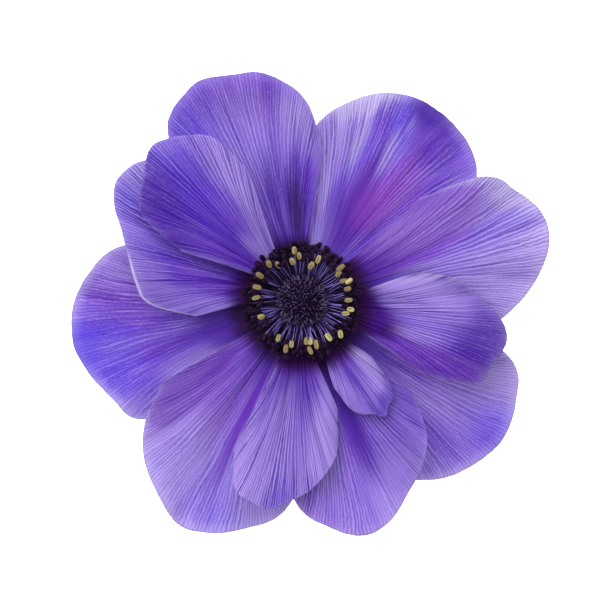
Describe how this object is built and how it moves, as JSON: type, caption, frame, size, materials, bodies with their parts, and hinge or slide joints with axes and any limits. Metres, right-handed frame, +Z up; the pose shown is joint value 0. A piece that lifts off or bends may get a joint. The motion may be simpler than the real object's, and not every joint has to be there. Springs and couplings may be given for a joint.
{
  "type": "anemone flower",
  "caption": "Picked blue-violet poppy anemone bloom lying face up, with overlapping veined tepals round a dark domed centre and a ring of stamens.",
  "frame": {"origin": "bottom centre of the bloom's own box, on the surface that it lies on", "axes": "+Z up out of the flower's face, +X and +Y to the right and the top of the picture"},
  "size_m": [0.0882, 0.0852, 0.0187],
  "materials": {
    "tepals": "satin",
    "stamens": "matte",
    "pistil": "matte",
    "stem": "satin"
  },
  "bodies": {
    "root": {"receptacle_and_stem": "stem", "tepal_upper_right": "tepals", "tepal_lower_right": "tepals", "tepal_left": "tepals", "tepal_top": "tepals", "tepal_right": "tepals", "tepal_bottom_left": "tepals", "tepal_left_front": "tepals", "tepal_right_front": "tepals", "tepal_bottom_right": "tepals", "tepal_upper_left_front": "tepals", "tepal_bottom_front": "tepals", "tepal_small_front": "tepals", "stamens": "stamens", "pistil_head": "pistil"}
  },
  "joints": []
}
